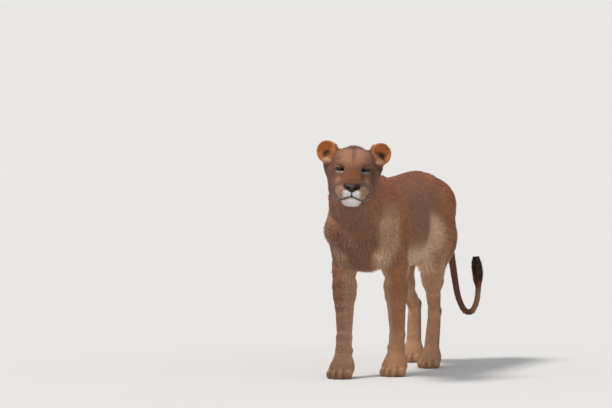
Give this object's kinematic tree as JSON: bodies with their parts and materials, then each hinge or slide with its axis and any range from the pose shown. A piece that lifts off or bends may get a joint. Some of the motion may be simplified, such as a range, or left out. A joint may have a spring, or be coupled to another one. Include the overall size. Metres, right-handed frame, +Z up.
{
  "type": "lioness",
  "caption": "Life-size standing lioness in mid stride, head raised and turned to her left, tail hanging with its dark tip curled up.",
  "frame": {"origin": "on the floor, under the middle of her outline", "axes": "+Z up, -Y the way she walks, +X her left side"},
  "size_m": [0.394, 1.685, 1.0876],
  "materials": {
    "coat": "short flat tawny fur, paler on belly, chin and inner legs",
    "tail_tuft": "longer black-brown hair at the tail's tip",
    "nose": "fine-grained bare nose leather, dark at the nostrils",
    "eye": "amber eye with a round pupil under a clear wet surface"
  },
  "bodies": {
    "root": {"head": "coat", "lower_jaw": "coat", "ear_right": "coat", "ear_left": "coat", "neck": "coat", "chest": "coat", "loin": "coat", "rump": "coat", "foreleg_right": "coat", "forepaw_right": "coat", "foreleg_left": "coat", "forepaw_left": "coat", "thigh_right": "coat", "shank_right": "coat", "hind_foot_right": "coat", "thigh_left": "coat", "shank_left": "coat", "hind_foot_left": "coat", "tail_upper": "coat", "tail_middle": "coat", "tail_lower": "coat", "tail_tuft": "tail_tuft", "nose": "nose", "eye_right": "eye", "eye_left": "eye"}
  },
  "joints": []
}
